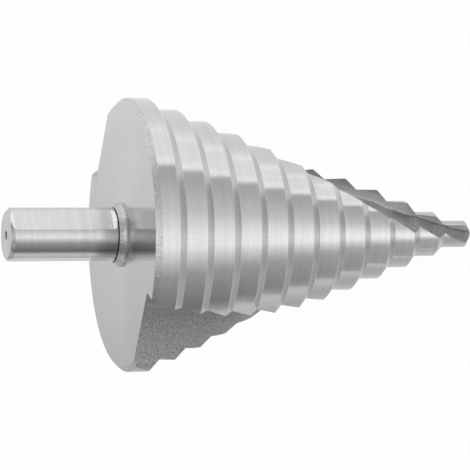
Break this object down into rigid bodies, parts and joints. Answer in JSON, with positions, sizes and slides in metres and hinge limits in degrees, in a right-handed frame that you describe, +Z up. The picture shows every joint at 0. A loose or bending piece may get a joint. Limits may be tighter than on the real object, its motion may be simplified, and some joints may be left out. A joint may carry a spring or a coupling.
{
  "type": "step drill bit",
  "caption": "Ground steel step drill bit with stepped cone, spiral flutes, self-starting pilot point and a three-flat shank, for drilling and widening holes in sheet.",
  "frame": {"origin": "middle of the footprint of the bit as it lies at rest, at the level of the surface it lies on", "axes": "+Z up, +X the way the point lies, along the surface; the bit's own axis is in the XZ plane and falls 20.28 degrees towards the point"},
  "size_m": [0.1028, 0.06, 0.0577],
  "materials": {
    "tool_steel": "bright ground steel with fine turning lines on the steps"
  },
  "bodies": {
    "root": {"step_drill": "tool_steel"}
  },
  "joints": []
}
